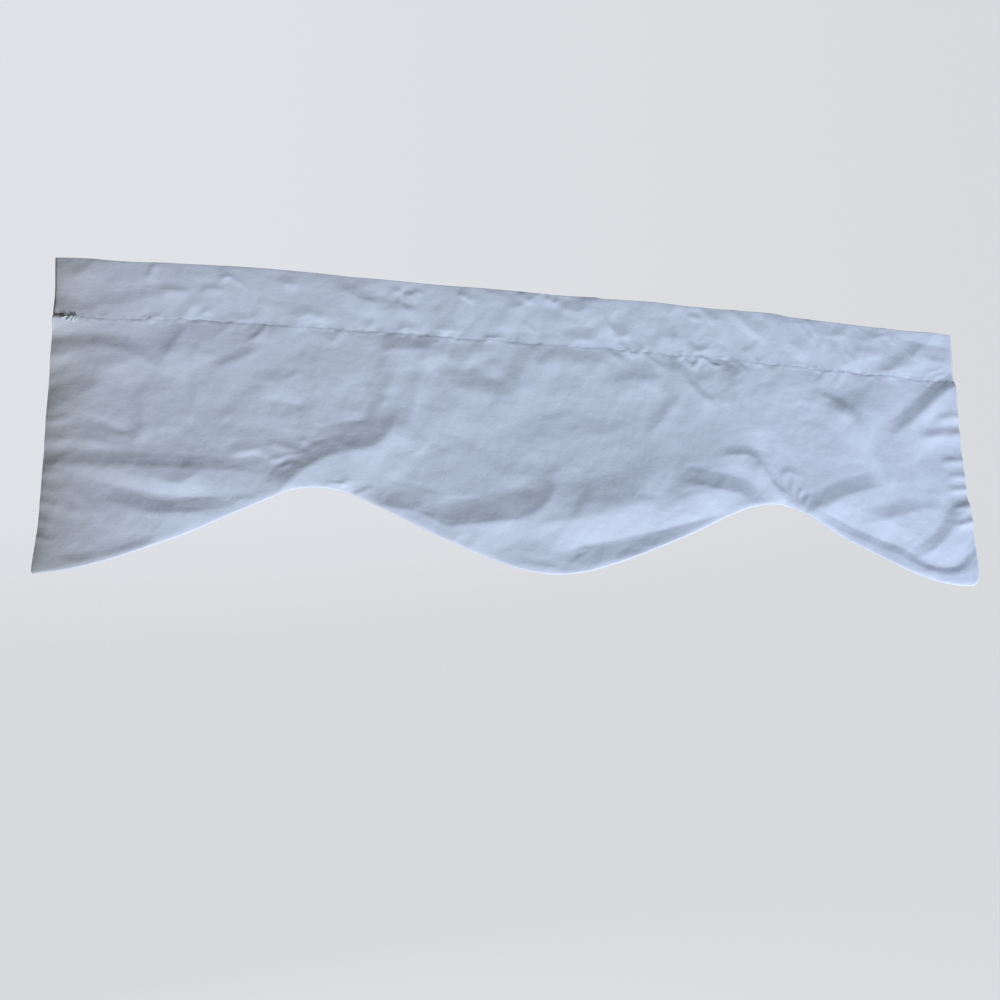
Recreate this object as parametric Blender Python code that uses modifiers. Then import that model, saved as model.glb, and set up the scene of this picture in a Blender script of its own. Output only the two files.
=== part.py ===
"""Window valance: a scalloped white cotton panel that hangs from its own rod pocket.

Metres, +Z up. The origin is the middle of the top edge, +X runs along the width and +Y to the wall,
so the face of the cloth looks towards -Y. Places on the cloth are given as along, from the left end,
and down, from the level of the two top corners.
"""

import math
from collections import namedtuple

import bmesh
import bpy
import numpy as np

MM = 0.001

# Driving dimensions
WIDTH = 1.524  # 60 in, side to side
TOP_RISE = 0.010  # the middle of the top edge stands this far above its two ends
POCKET_WALL = 0.0012  # one layer of the pocket, with the air in its weave and crumple
PANEL_THICKNESS = 0.002  # the pressed panel with its turned edges
PIECE_GAP = 0.0003  # between the pocket and the panel stitched to it
POCKET_FRONT = 0.004  # how far the empty pocket stands out towards the room
POCKET_BACK = 0.009  # and how far its back layer hangs away behind
LEFT_CORNER = 0.005  # rounding of the two lower corners
RIGHT_CORNER = 0.013

# Mesh steps: columns run down the cloth, and rows run across it or round the pocket
PANEL_COLUMNS = 116
PANEL_ROWS = 24
CORNER_STEPS = 4
POCKET_COLUMNS = 64
POCKET_ROWS = 20
CURVE_STEPS = 3  # straight steps from each point of a fold's line to the next
CREST_RADIUS = 0.003  # how softly a fold's crest is rounded
BLUR = 0.0005  # how far two steps of a fold's line blend where they meet
END_REACH = 0.4  # a fold rises from each end over this share of its two reaches
END_LENGTH = 0.3  # or over this share of its length, whichever is more

# The cloth's edges from left to right: top fold, seam under the pocket, and scalloped hem
Section = namedtuple("Section", "along top seam hem")
SECTIONS = (
    Section(0.000, -0.001, 0.088, 0.459),
    Section(0.050, -0.002, 0.087, 0.453),
    Section(0.100, -0.002, 0.086, 0.439),
    Section(0.150, -0.005, 0.082, 0.420),
    Section(0.200, -0.007, 0.079, 0.399),
    Section(0.250, -0.009, 0.078, 0.374),
    Section(0.300, -0.010, 0.078, 0.350),
    Section(0.340, -0.010, 0.077, 0.332),
    Section(0.380, -0.010, 0.077, 0.326),
    Section(0.420, -0.009, 0.077, 0.331),
    Section(0.475, -0.009, 0.076, 0.354),
    Section(0.550, -0.009, 0.076, 0.389),
    Section(0.625, -0.009, 0.076, 0.420),
    Section(0.690, -0.010, 0.076, 0.442),
    Section(0.745, -0.009, 0.076, 0.451),
    Section(0.800, -0.010, 0.076, 0.446),
    Section(0.850, -0.010, 0.076, 0.432),
    Section(0.925, -0.012, 0.077, 0.404),
    Section(1.000, -0.010, 0.078, 0.373),
    Section(1.050, -0.010, 0.079, 0.350),
    Section(1.095, -0.010, 0.080, 0.334),
    Section(1.145, -0.011, 0.081, 0.327),
    Section(1.195, -0.007, 0.082, 0.341),
    Section(1.250, -0.005, 0.084, 0.372),
    Section(1.325, -0.003, 0.086, 0.407),
    Section(1.400, -0.001, 0.088, 0.440),
    Section(1.450, -0.001, 0.090, 0.455),
    Section(1.495, -0.001, 0.090, 0.461),
    Section(1.524, 0.001, 0.090, 0.460),
)

# The two sides from the top down, as places along
Side = namedtuple("Side", "down left right")
SIDES = (
    Side(0.000, 0.001, 1.520),
    Side(0.050, 0.004, 1.519),
    Side(0.085, 0.004, 1.518),
    Side(0.200, 0.004, 1.518),
    Side(0.300, 0.005, 1.521),
    Side(0.360, 0.005, 1.525),
    Side(0.400, 0.004, 1.527),
    Side(0.440, 0.001, 1.527),
    Side(0.465, 0.000, 1.526),
)

# The main folds, in millimetres. Each is a ridge, or a trough where its height is negative, along a smooth
# line through its points (along, down). above and below say how far it reaches on either side, and the higher
# soft is, the sooner it falls away from its crest.
Fold = namedtuple("Fold", "height above below soft line")
FOLDS = (
    # left lobe
    Fold(4.0, 21, 48, 1.2, ((-80, 132), (0, 130), (40, 128), (80, 129), (108, 136), (132, 146), (152, 154))),
    Fold(3.1, 44, 46, 1.2, ((140, 158), (150, 150), (166, 132), (200, 128), (228, 148))),
    Fold(1.8, 18, 46, 1.5, ((218, 152), (250, 142), (275, 129), (304, 111))),
    Fold(3.4, 34, 60, 1.2, ((-60, 262), (-10, 236), (14, 222), (32, 213), (52, 199), (80, 182), (100, 170))),
    Fold(4.0, 24, 60, 1.2, ((-80, 303), (0, 303), (60, 303), (124, 304), (150, 313), (180, 327), (196, 319),
                            (208, 306), (260, 305), (300, 308), (352, 316))),
    Fold(1.6, 34, 20, 1.2, ((188, 322), (206, 307), (260, 305), (300, 308), (330, 318))),
    Fold(-2.3, 22, 24, 1.2, ((16, 316), (70, 327), (110, 338), (150, 349), (200, 353), (292, 350))),
    Fold(2.4, 24, 40, 1.2, ((75, 348), (110, 362), (145, 375), (190, 371), (266, 360))),
    Fold(-2.3, 60, 26, 1.2, ((10, 428), (60, 424), (110, 412), (184, 386))),
    # the deep fold over the left arch
    Fold(6.9, 27, 60, 1.2, ((304, 346), (325, 327), (345, 310), (366, 294), (388, 280), (412, 270),
                            (450, 262))),
    Fold(9.0, 46, 60, 1.2, ((388, 282), (414, 271), (440, 267), (470, 262), (484, 252), (493, 235),
                            (498, 212), (500, 178))),
    # centre, under the seam
    Fold(4.6, 26, 34, 1.2, ((462, 118), (478, 108), (500, 104), (530, 102), (556, 101), (580, 108))),
    Fold(2.5, 30, 60, 1.2, ((466, 222), (480, 182), (494, 146), (508, 100))),
    Fold(3.4, 27, 60, 1.2, ((540, 132), (575, 148), (605, 158), (640, 167), (682, 168), (712, 160))),
    Fold(2.5, 26, 46, 1.2, ((676, 176), (690, 158), (702, 128), (726, 74))),
    # the middle lobe
    Fold(6.7, 40, 62, 1.3, ((430, 316), (462, 340), (490, 353), (520, 357), (542, 363), (575, 380),
                            (600, 377), (650, 371), (694, 366))),
    Fold(5.8, 46, 40, 1.3, ((606, 380), (650, 372), (692, 365), (716, 355), (737, 336), (749, 306),
                            (752, 272))),
    Fold(5.8, 56, 52, 1.2, ((676, 382), (710, 376), (750, 368), (800, 358), (850, 345), (900, 333),
                            (935, 324))),
    Fold(4.0, 14, 56, 1.2, ((866, 344), (900, 334), (940, 322), (985, 313), (1030, 312), (1072, 320))),
    Fold(-4.9, 38, 30, 1.2, ((710, 424), (770, 411), (800, 405), (850, 394), (905, 382), (960, 368),
                             (1000, 357), (1040, 346), (1090, 328))),
    # right of the centre, and the gather over the right arch
    Fold(2.5, 22, 36, 1.2, ((864, 121), (890, 129), (920, 127), (956, 118))),
    Fold(2.5, 17, 38, 1.2, ((960, 76), (972, 98), (986, 118), (1000, 134), (1020, 152), (1042, 174))),
    Fold(2.4, 56, 42, 1.2, ((1060, 76), (1082, 126), (1098, 172), (1116, 206), (1136, 242))),
    Fold(2.5, 19, 50, 1.2, ((908, 226), (930, 206), (950, 182), (966, 162), (986, 145))),
    Fold(4.0, 17, 28, 1.2, ((1026, 256), (1060, 248), (1090, 245), (1108, 252), (1120, 270), (1140, 300),
                            (1158, 326))),
    Fold(6.5, 38, 56, 1.2, ((950, 294), (968, 294), (985, 296), (1010, 299), (1036, 303), (1060, 305),
                            (1078, 311), (1096, 327), (1112, 350))),
    Fold(3.0, 16, 14, 1.5, ((1182, 338), (1174, 306), (1176, 270))),
    # right lobe
    Fold(4.1, 46, 60, 1.2, ((1284, 180), (1300, 166), (1322, 146), (1346, 118), (1374, 80))),
    Fold(3.2, 24, 44, 1.2, ((1244, 140), (1285, 164), (1312, 192), (1330, 224), (1346, 256), (1358, 292))),
    Fold(2.9, 26, 90, 1.2, ((1256, 166), (1290, 176), (1318, 188), (1350, 206))),
    Fold(5.8, 36, 90, 1.2, ((1336, 206), (1370, 193), (1410, 178), (1445, 151), (1480, 122), (1515, 101),
                            (1566, 72))),
    Fold(3.6, 27, 60, 1.2, ((1168, 356), (1195, 341), (1225, 330), (1250, 320), (1275, 310), (1300, 302),
                            (1346, 291), (1380, 286))),
    Fold(2.9, 24, 44, 1.2, ((1290, 358), (1350, 348), (1392, 337), (1432, 327), (1484, 316))),
    Fold(3.8, 20, 40, 1.2, ((1384, 428), (1414, 411), (1448, 392), (1474, 369), (1487, 352), (1500, 337),
                            (1522, 326), (1560, 306))),
    Fold(-2.4, 30, 18, 1.2, ((1210, 338), (1270, 363), (1310, 381), (1345, 395), (1376, 402), (1402, 415),
                             (1440, 428), (1480, 428), (1506, 408), (1545, 372))),
    Fold(4.0, 16, 32, 1.2, ((1424, 204), (1470, 194), (1555, 186))),
)

# The slow swing of the hanging cloth, growing from the seam to the hem
SWAY = 0.005
SWAY_LENGTH = 0.76
SWAY_START = 0.35  # radians, at the left end
FLAT_UNDER_SEAM = 0.016  # the folds reach their height this far from the stitches

# The left side hangs away from the room
SIDE_CURL = 0.013
SIDE_CURL_REACH = 0.034
SIDE_CURL_DROP = 0.050  # the stitches hold it this far down
CORNER_CURL = 0.4  # and it hangs this share further away at the lower corner

# The empty pocket's own soft dents, which are shallow because its mouth stays open
DENT = 0.0009
DENT_LENGTHS = (0.134, 0.071)
DENT_SLANTS = (0.9, -1.4)  # how far along each dent runs for its way down

COTTON_WHITE = (0.66, 0.71, 0.82, 1.0)
COTTON_ROUGHNESS = 0.85


def clear_scene():
    for thing in list(bpy.data.objects):
        bpy.data.objects.remove(thing)


def smooth(rows, key, column, place):
    """The column's value at each place: a smooth line through the rows of a table."""
    knots = np.array([getattr(row, key) for row in rows])
    values = np.array([getattr(row, column) for row in rows])
    slopes = np.gradient(values, knots)
    place = np.clip(place, knots[0], knots[-1])
    before = np.clip(np.searchsorted(knots, place, side="right") - 1, 0, len(knots) - 2)
    span = knots[before + 1] - knots[before]
    t = (place - knots[before]) / span
    start = values[before] * (1 + 2 * t) * (1 - t) ** 2
    start = start + slopes[before] * span * t * (1 - t) ** 2
    end = values[before + 1] * t**2 * (3 - 2 * t)
    end = end + slopes[before + 1] * span * t**2 * (t - 1)
    return start + end


def ease(value):
    """From 0 to 1 with a soft start and a soft end."""
    value = np.clip(value, 0, 1)
    return value * value * (3 - 2 * value)


def curve_through(points):
    """A smooth open line through the points, as short straight steps."""
    padded = np.vstack([2 * points[0] - points[1], points, 2 * points[-1] - points[-2]])
    line = [points[0]]
    for a, b, c, d in zip(padded, padded[1:], padded[2:], padded[3:]):
        for t in np.arange(1, CURVE_STEPS + 1) / CURVE_STEPS:
            bend = (2 * a - 5 * b + 4 * c - d) * t**2 + (3 * b - a - 3 * c + d) * t**3
            line.append(b + ((c - a) * t + bend) / 2)
    return np.array(line)


def one_fold(fold, along, down):
    """The height of one fold at places on the cloth."""
    line = curve_through(np.array(fold.line) * MM)
    above, below = fold.above * MM, fold.below * MM
    starts = line[:-1]
    steps = line[1:] - line[:-1]
    lengths = np.hypot(steps[:, 0], steps[:, 1])
    walked = np.cumsum(lengths) - lengths
    off_a = along[:, None] - starts[:, 0]
    off_d = down[:, None] - starts[:, 1]
    t = np.clip((off_a * steps[:, 0] + off_d * steps[:, 1]) / lengths**2, 0, 1)
    off_a -= t * steps[:, 0]
    off_d -= t * steps[:, 1]
    distance = np.hypot(off_a, off_d)
    # Near steps share a place between them, so the fold turns a corner without a tear
    share = 1 / (distance + BLUR) ** 6
    share /= share.sum(axis=1, keepdims=True)
    place = (share * (walked + t * lengths)).sum(axis=1)
    on_below = (share * (steps[:, 0] * off_d > steps[:, 1] * off_a)).sum(axis=1)
    reach = above + (below - above) * on_below
    distance = np.hypot(distance.min(axis=1), CREST_RADIUS) - CREST_RADIUS
    fall = np.clip(1 - distance / reach, 0, 1) ** fold.soft
    length = lengths.sum()
    fade = min(max(END_REACH * (above + below), END_LENGTH * length), length / 2)
    return fold.height * MM * fall * ease(place / fade) * ease((length - place) / fade)


def panel_relief(along, down, seam, hem):
    """How far the panel's face stands out towards the room."""
    folds = sum(one_fold(fold, along, down) for fold in FOLDS)
    swing = SWAY * np.sin(2 * math.pi * along / SWAY_LENGTH + SWAY_START)
    drop = (down - seam) / (hem - seam)
    turned_away = SIDE_CURL * np.exp(-along / SIDE_CURL_REACH) * (1 + CORNER_CURL * drop)
    turned_away *= ease((down - seam) / SIDE_CURL_DROP)
    return ease((down - seam) / FLAT_UNDER_SEAM) * folds + ease(drop) * swing - turned_away


def place_on_cloth(along, down):
    """X and Z of places on the cloth, whose sides aren't quite upright."""
    left = smooth(SIDES, "down", "left", down)
    right = smooth(SIDES, "down", "right", down)
    across = left + (right - left) * along / WIDTH
    return across - WIDTH / 2, -down - TOP_RISE


def corner_columns():
    """Places along of the panel's columns: even, and closer round the two lower corners."""
    turn = np.linspace(0, math.pi / 2, CORNER_STEPS + 1)[:-1]
    left = LEFT_CORNER * (1 - np.cos(turn))
    right = WIDTH - RIGHT_CORNER * (1 - np.cos(turn))
    middle = np.linspace(LEFT_CORNER, WIDTH - RIGHT_CORNER, PANEL_COLUMNS - 2 * CORNER_STEPS + 1)
    return np.concatenate([left, middle, right[::-1]])


def corner_rise(along):
    """How far the rounded lower corners lift the hem at each place along."""
    rise = np.zeros(along.shape)
    for radius, from_side in ((LEFT_CORNER, along), (RIGHT_CORNER, WIDTH - along)):
        inside = np.clip(radius - from_side, 0, radius)
        rise += radius - np.sqrt(radius**2 - inside**2)
    return rise


def cotton():
    """Plain-woven white cotton, dull, with a cool cast."""
    material = bpy.data.materials.new("white_cotton")
    material.use_nodes = True
    surface = material.node_tree.nodes["Principled BSDF"]
    surface.inputs["Base Color"].default_value = COTTON_WHITE
    surface.inputs["Roughness"].default_value = COTTON_ROUGHNESS
    surface.inputs["Metallic"].default_value = 0.0
    material.diffuse_color = COTTON_WHITE
    return material


def cloth_piece(name, grid, thickness, material, collection):
    """A named piece from an open surface, given the thickness of its cloth."""
    mesh = bpy.data.meshes.new(name)
    grid.to_mesh(mesh)
    grid.free()
    mesh.materials.append(material)
    mesh.shade_smooth()
    piece = bpy.data.objects.new(name, mesh)
    collection.objects.link(piece)
    wall = piece.modifiers.new("cloth_thickness", "SOLIDIFY")
    wall.thickness = thickness
    wall.offset = 0
    wall.use_even_offset = True
    wall.use_rim = True
    return piece


def unit_grid(columns, rows):
    """A flat grid with its points, and each point's column and row."""
    grid = bmesh.new()
    bmesh.ops.create_grid(grid, x_segments=columns, y_segments=rows, size=0.5)
    points = np.array([point.co for point in grid.verts])
    column = np.rint((points[:, 0] + 0.5) * columns).astype(int)
    row = np.rint((points[:, 1] + 0.5) * rows).astype(int)
    return grid, column, row


def move_points(grid, x, y, z):
    for point, *place in zip(grid.verts, x, y, z):
        point.co = place


def panel(material, collection):
    """The scalloped panel, from its stitched top edge to its hem."""
    grid, column, row = unit_grid(PANEL_COLUMNS, PANEL_ROWS)
    along = corner_columns()[column]
    seam = smooth(SECTIONS, "along", "seam", along)
    hem = smooth(SECTIONS, "along", "hem", along) - corner_rise(along)
    down = hem + (seam - hem) * row / PANEL_ROWS
    x, z = place_on_cloth(along, down)
    move_points(grid, x, -panel_relief(along, down, seam, hem), z)
    return cloth_piece("panel", grid, PANEL_THICKNESS, material, collection)


def rod_pocket(material, collection):
    """The heading: one strip turned over the top and back down to the seam, open at both ends."""
    grid, column, row = unit_grid(POCKET_COLUMNS, POCKET_ROWS)
    along = WIDTH * column / POCKET_COLUMNS
    half_step = math.pi / POCKET_ROWS
    turn = 2 * math.pi * row / POCKET_ROWS + half_step  # from the seam, up the front, down the back
    top = smooth(SECTIONS, "along", "top", along)
    tip = POCKET_WALL * math.sqrt(2) / 2  # the corner of the wall at the seam reaches this far down
    seam = smooth(SECTIONS, "along", "seam", along) - PIECE_GAP - tip
    depth = (seam - top) / math.cos(half_step)
    down = (seam + top) / 2 + depth / 2 * np.cos(turn)
    front = np.sin(turn) > 0
    dents = sum(np.sin(2 * math.pi * (along + slant * down) / length)
                for slant, length in zip(DENT_SLANTS, DENT_LENGTHS))
    stand = np.where(front, POCKET_FRONT + DENT * dents, POCKET_BACK)
    x, z = place_on_cloth(along, down)
    move_points(grid, x, -stand * np.sin(turn), z)
    bmesh.ops.remove_doubles(grid, verts=grid.verts, dist=1e-6)
    bmesh.ops.recalc_face_normals(grid, faces=grid.faces)
    return cloth_piece("rod_pocket", grid, POCKET_WALL, material, collection)


def build_valance():
    clear_scene()
    collection = bpy.data.collections.new("window_valance")
    bpy.context.scene.collection.children.link(collection)
    material = cotton()
    rod_pocket(material, collection)
    panel(material, collection)


build_valance()
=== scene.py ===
"""Looks of a scalloped white cotton window valance that hangs from its own rod pocket.

Metres, +Z up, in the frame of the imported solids: the origin is the middle of the top edge and the face
looks towards -Y. Places on the cloth are along, from the left end, and down, from the two top corners.
"""

import math
from collections import namedtuple

import bmesh
import bpy
import numpy as np
from mathutils import Matrix, Vector


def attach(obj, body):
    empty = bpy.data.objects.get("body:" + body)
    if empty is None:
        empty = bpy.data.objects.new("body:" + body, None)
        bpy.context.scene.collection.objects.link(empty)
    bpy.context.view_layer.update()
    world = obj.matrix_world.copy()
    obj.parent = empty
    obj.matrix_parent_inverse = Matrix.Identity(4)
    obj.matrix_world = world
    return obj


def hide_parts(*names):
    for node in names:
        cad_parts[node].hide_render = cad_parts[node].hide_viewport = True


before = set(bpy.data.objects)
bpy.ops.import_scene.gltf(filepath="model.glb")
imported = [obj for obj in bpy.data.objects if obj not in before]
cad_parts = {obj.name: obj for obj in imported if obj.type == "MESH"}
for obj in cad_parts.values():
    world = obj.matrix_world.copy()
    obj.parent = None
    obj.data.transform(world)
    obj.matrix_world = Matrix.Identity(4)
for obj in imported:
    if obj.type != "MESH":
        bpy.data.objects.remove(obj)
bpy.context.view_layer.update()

MM = 0.001

# --------------------------------------------------------------------------------------------------
# The panel: one width of plain-woven cotton with a scalloped hem, its sides and hem turned in and pressed.
# It hangs from the stitches under the rod pocket. It was stored folded, so it is crumpled all over, and
# soft diagonal folds run down to its lobes and gather at the right-hand arch.
WIDTH = 1.524  # 60 in
TOP_RISE = 0.010  # the middle of the top edge over its two ends
PANEL_THICKNESS = 0.0016
PANEL_COLUMNS = 422
SEAM_ROWS = 16  # close rows, from the tucked-in top edge to a little under the seam
SEAM_ROW = 0.0010
HEM_ROWS = 100  # wider rows, from there to the hem
TUCKED_IN = 0.003  # the panel's top edge reaches this far up between the pocket's two layers
TUCK_BEHIND = 0.0011  # and lies this far back there
TUCK_STEP = 0.0015  # all of it from this far above the seam
CORNER_STEPS = 6
CLOSER_AT_HEM = 0.35  # how much closer together the rows lie at the hem
LEFT_CORNER = 0.005  # radius
RIGHT_CORNER = 0.013
SWAY = 0.005  # the hem waves gently to and fro
SWAY_LENGTH = 0.76
SWAY_START = 0.35
SEAM_DIP = 0.0001  # the stitches draw the cloth in
SEAM_DIP_REACH = 0.003
Waver = namedtuple("Waver", "size length start")
SEAM_WAVERS = (Waver(0.0005, 0.0370, 0.4), Waver(0.0004, 0.0213, 1.9), Waver(0.0007, 0.0910, 3.1))
HEM_ROLL = 0.0015  # the turned hem rolls back
HEM_ROLL_REACH = 0.0030
SIDE_CURL = 0.0090  # the left side hangs away
SIDE_CURL_REACH = 0.045
EDGE_CURL = 0.0016  # and its pressed edge turns back
EDGE_CURL_REACH = 0.011
CORNER_CURL = 0.5  # both turn this much further by the lower corner
CURL_START = 0.03  # held straight at the seam, the sides reach their full turn this far from it
UNSTITCHED = 0.024  # the seam has come undone this far from the left end
UNDONE_FADE = 0.014
PANEL_SAG = 0.0022  # and the panel's edge has dropped there
PANEL_CURL = 0.0008  # and bent forward
PANEL_CURL_FADE = 0.012
PANEL_CURL_REACH = 0.006

# The edges of the cloth from left to right: top fold, seam under the pocket, and hem
Section = namedtuple("Section", "along top seam hem")
SECTIONS = (
    Section(0.000, -0.001, 0.088, 0.459),
    Section(0.050, -0.002, 0.087, 0.453),
    Section(0.100, -0.002, 0.086, 0.439),
    Section(0.150, -0.005, 0.082, 0.420),
    Section(0.200, -0.007, 0.079, 0.399),
    Section(0.250, -0.009, 0.078, 0.374),
    Section(0.300, -0.010, 0.078, 0.350),
    Section(0.340, -0.010, 0.077, 0.332),
    Section(0.380, -0.010, 0.077, 0.326),
    Section(0.420, -0.009, 0.077, 0.331),
    Section(0.475, -0.009, 0.076, 0.354),
    Section(0.550, -0.009, 0.076, 0.389),
    Section(0.625, -0.009, 0.076, 0.420),
    Section(0.690, -0.010, 0.076, 0.442),
    Section(0.745, -0.009, 0.076, 0.451),
    Section(0.800, -0.010, 0.076, 0.446),
    Section(0.850, -0.010, 0.076, 0.432),
    Section(0.925, -0.012, 0.077, 0.404),
    Section(1.000, -0.010, 0.078, 0.373),
    Section(1.050, -0.010, 0.079, 0.350),
    Section(1.095, -0.010, 0.080, 0.334),
    Section(1.145, -0.011, 0.081, 0.327),
    Section(1.195, -0.007, 0.082, 0.341),
    Section(1.250, -0.005, 0.084, 0.372),
    Section(1.325, -0.003, 0.086, 0.407),
    Section(1.400, -0.001, 0.088, 0.440),
    Section(1.450, -0.001, 0.090, 0.455),
    Section(1.495, -0.001, 0.090, 0.461),
    Section(1.524, 0.001, 0.090, 0.460),
)

# The two sides from the top down, as places along
Side = namedtuple("Side", "down left right")
SIDES = (
    Side(0.000, 0.001, 1.520),
    Side(0.050, 0.004, 1.519),
    Side(0.085, 0.004, 1.518),
    Side(0.200, 0.004, 1.518),
    Side(0.300, 0.005, 1.521),
    Side(0.360, 0.005, 1.525),
    Side(0.400, 0.004, 1.527),
    Side(0.440, 0.001, 1.527),
    Side(0.465, 0.000, 1.526),
)

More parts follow.
